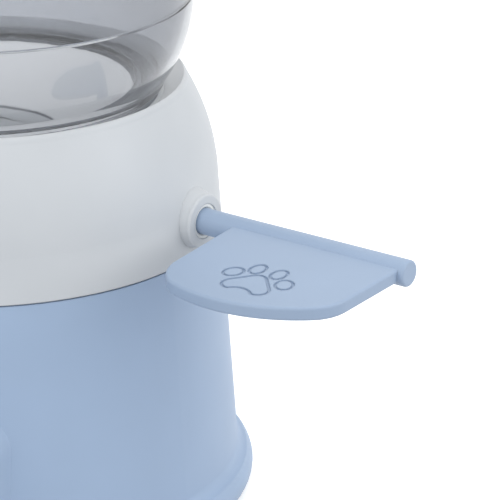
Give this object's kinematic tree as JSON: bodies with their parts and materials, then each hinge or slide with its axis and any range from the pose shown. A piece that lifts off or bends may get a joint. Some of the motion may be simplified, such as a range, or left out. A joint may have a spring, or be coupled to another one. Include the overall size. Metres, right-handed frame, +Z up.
{
  "type": "interactive cat feeder",
  "caption": "Gravity cat feeder: round base with a slide-out bowl, dome cover, clear lift-out hopper with a lid, and a paw lever that turns a metering drum.",
  "frame": {"origin": "centre of the foot ring, on the surface the feeder stands on", "axes": "+Z up along the body axis, +X towards the side with the paw lever, -Y towards the front with the bowl"},
  "size_m": [0.278, 0.268, 0.264],
  "materials": {
    "base_blue": "satin",
    "underside_blue": "satin",
    "lever_blue": "satin",
    "bowl_blue": "satin",
    "lid_blue": "satin",
    "drum_white": "satin",
    "dome_white": "satin",
    "funnel_white": "satin",
    "inner_white": "satin",
    "bush_white": "satin",
    "hopper_clear": "clear",
    "seal_grey": "matte",
    "foot_rubber": "matte",
    "spring_steel": "drawn wire",
    "screw_steel": "zinc plated"
  },
  "bodies": {
    "base": {"base_shell": "base_blue", "base_plate": "underside_blue", "base_plate_screws": "screw_steel", "foot_ring": "foot_rubber", "dome_cover": "dome_white", "boss_bush": "bush_white", "mechanism_deck": "inner_white", "deck_screws": "screw_steel", "housing_lower": "inner_white", "housing_upper": "inner_white", "housing_screws": "screw_steel", "housing_foot_screws": "screw_steel", "shaft_bush_right": "bush_white", "shaft_bush_left": "bush_white", "return_spring": "spring_steel", "funnel": "funnel_white", "funnel_gasket": "seal_grey", "chute": "inner_white", "chute_screws": "screw_steel", "hopper_seal": "seal_grey"},
    "lever": {"paddle_lever": "lever_blue", "metering_drum": "drum_white", "spring_collar": "inner_white", "collar_screw": "screw_steel", "lever_washer": "screw_steel", "lever_screw": "screw_steel"},
    "hopper": {"hopper_bowl": "hopper_clear", "hopper_wall": "hopper_clear"},
    "lid": {"lid": "lid_blue", "lid_seal": "seal_grey", "lid_knob": "lid_blue", "lid_knob_screw": "screw_steel"},
    "bowl": {"bowl": "bowl_blue"}
  },
  "joints": [
    {"name": "lever_press", "type": "hinge", "parent": "base", "child": "lever", "pos_m": [0, 0.0164, 0.1172], "axis": [1, 0, 0], "range_deg": [0, 60], "stiffness_Nm_per_rad": 0.012, "springref_deg": -68.75, "deforming": ["return_spring"]},
    {"name": "hopper_lift", "type": "slide", "parent": "base", "child": "hopper", "axis": [0, 0, 1], "range_m": [0, 0.08]},
    {"name": "lid_lift", "type": "slide", "parent": "hopper", "child": "lid", "axis": [0, 0, 1], "range_m": [0, 0.06]},
    {"name": "bowl_slide", "type": "slide", "parent": "base", "child": "bowl", "axis": [0, -1, 0], "range_m": [0, 0.13]}
  ]
}
